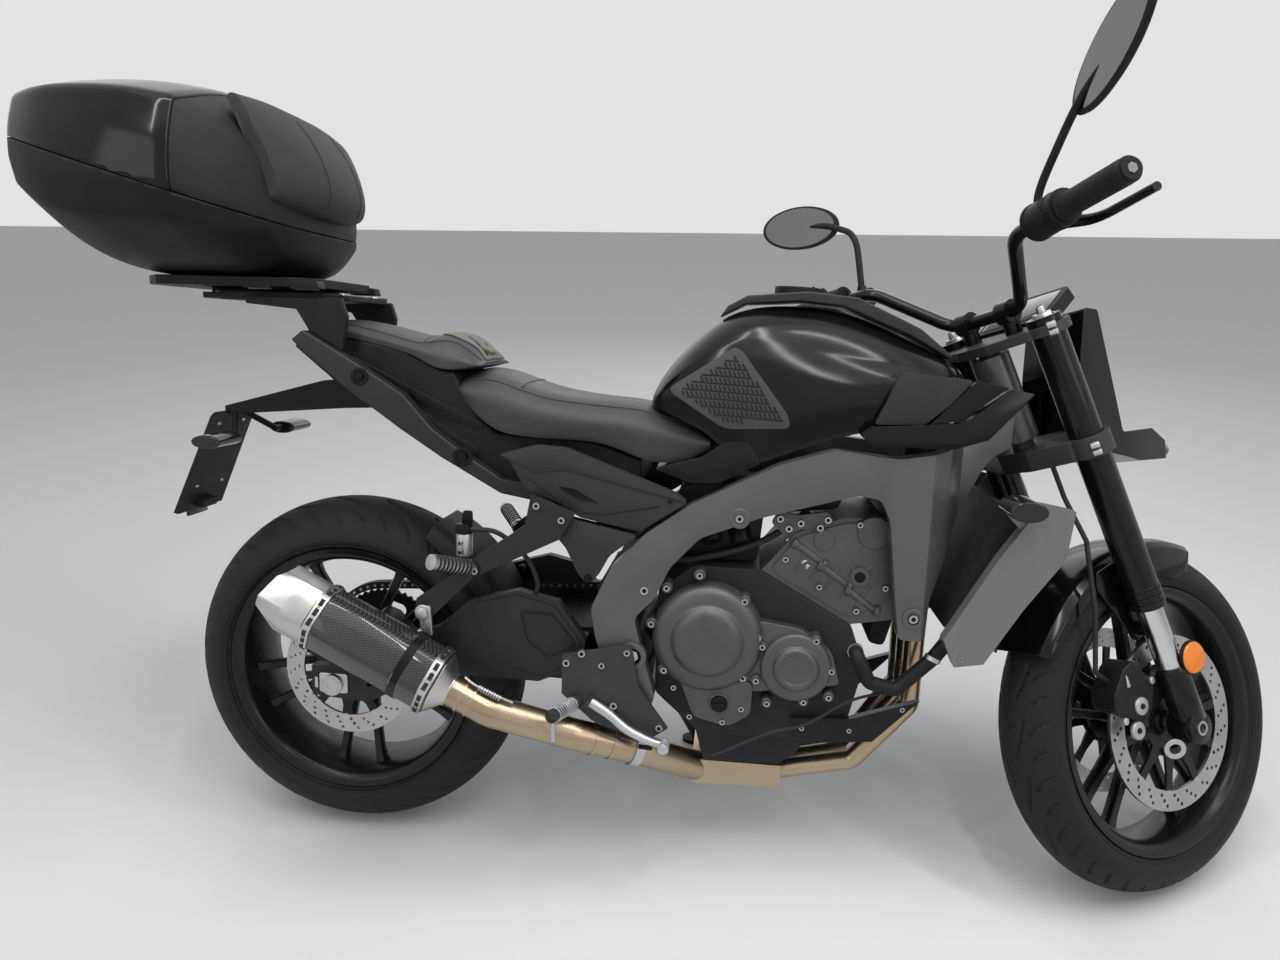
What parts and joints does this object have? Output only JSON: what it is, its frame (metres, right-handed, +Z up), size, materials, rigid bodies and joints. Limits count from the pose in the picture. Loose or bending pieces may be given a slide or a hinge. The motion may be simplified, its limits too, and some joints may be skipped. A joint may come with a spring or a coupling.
{
  "type": "standard motorcycle",
  "caption": "Naked roadster motorcycle with a twin-spar frame, open engine, hexagonal silencer and a rear top case, leaning on its side stand.",
  "frame": {"origin": "middle of the bounding box, on the road", "axes": "+X to the front, +Y to the rider's left, +Z up; the machine leans left on its side stand"},
  "size_m": [2.2042, 0.8198, 1.434],
  "materials": {
    "frame_grey": "satin cast, painted gunmetal",
    "engine_grey": "satin cast, painted dark grey",
    "plastic_black": "grained satin black plastic",
    "gloss_black": "gloss black paint",
    "satin_grey": "satin light grey",
    "seat_black": "grained black cover over foam",
    "tyre_black": "matt tread rubber",
    "rim_black": "gloss black cast",
    "steel": "ground steel",
    "chain_steel": "oiled dark steel",
    "exhaust_tint": "heat tinted titanium",
    "carbon": "woven carbon under lacquer",
    "silencer_metal": "satin titanium",
    "rubber_black": "moulded black rubber",
    "lamp_smoke": "smoked lens",
    "chrome": "hard chromed tube",
    "fork_black": "black anodised",
    "mirror_black": "satin black shell with glass",
    "radiator_black": "black core"
  },
  "bodies": {
    "chassis": {"main_frame": "frame_grey", "tail_arms": "frame_grey", "tail_cover": "plastic_black", "crankcase": "engine_grey", "cylinder_head": "engine_grey", "engine_covers": "engine_grey", "radiator": "radiator_black", "radiator_covers": "satin_grey", "exhaust_pipes": "exhaust_tint", "silencer_sleeve": "carbon", "silencer_caps": "silencer_metal", "fuel_tank": "gloss_black", "tank_covers": "plastic_black", "knee_pads": "rubber_black", "side_covers": "plastic_black", "rider_seat": "seat_black", "pillion_seat": "seat_black", "plate_holder": "plastic_black", "flashers": "lamp_smoke", "swingarm": "frame_grey", "shock_absorber": "steel", "rear_hugger": "plastic_black", "drive_chain": "chain_steel", "rear_caliper": "fork_black", "foot_controls": "steel", "passenger_pegs": "frame_grey", "luggage_rack": "plastic_black", "case_shell": "plastic_black", "rear_axle": "steel"},
    "steering": {"fork_outers": "fork_black", "fork_inners": "chrome", "fork_clamps": "fork_black", "handlebar": "fork_black", "grips": "rubber_black", "hand_controls": "plastic_black", "mirrors": "mirror_black", "meter": "plastic_black", "headlight": "gloss_black", "front_fender": "gloss_black", "front_calipers": "fork_black", "brake_hoses": "rubber_black", "front_axle": "steel"},
    "front_wheel": {"front_rim": "rim_black", "front_tyre": "tyre_black", "front_discs": "steel"},
    "rear_wheel": {"rear_rim": "rim_black", "rear_tyre": "tyre_black", "rear_disc": "steel", "rear_sprocket": "chain_steel"},
    "side_stand": {"side_stand": "fork_black"},
    "case_lid": {"case_lid": "plastic_black", "lid_pad": "rubber_black"}
  },
  "joints": [
    {"name": "steering_turn", "type": "hinge", "parent": "chassis", "child": "steering", "pos_m": [0.56023, -0.05387, 0.82405], "axis": [-0.4113, 0.1719, 0.8951], "range_deg": [-65.14, 0]},
    {"name": "front_wheel_spin", "type": "hinge", "parent": "steering", "child": "front_wheel", "pos_m": [0.83288, -0.14304, 0.28242], "axis": [-0.4907, 0.7859, -0.3764], "continuous": true},
    {"name": "rear_wheel_spin", "type": "hinge", "parent": "chassis", "child": "rear_wheel", "pos_m": [-0.59311, -0.15239, 0.311], "axis": [0, 0.9821, -0.1886], "continuous": true},
    {"name": "side_stand_swing", "type": "hinge", "parent": "chassis", "child": "side_stand", "pos_m": [-0.02748, -0.04329, 0.23223], "axis": [0.0016, 0.9989, 0.0458], "range_deg": [0, 95]},
    {"name": "case_lid_hinge", "type": "hinge", "parent": "chassis", "child": "case_lid", "pos_m": [-0.63387, -0.0043, 1.0822], "axis": [0, 0.9821, -0.1886], "range_deg": [0, 80]}
  ]
}
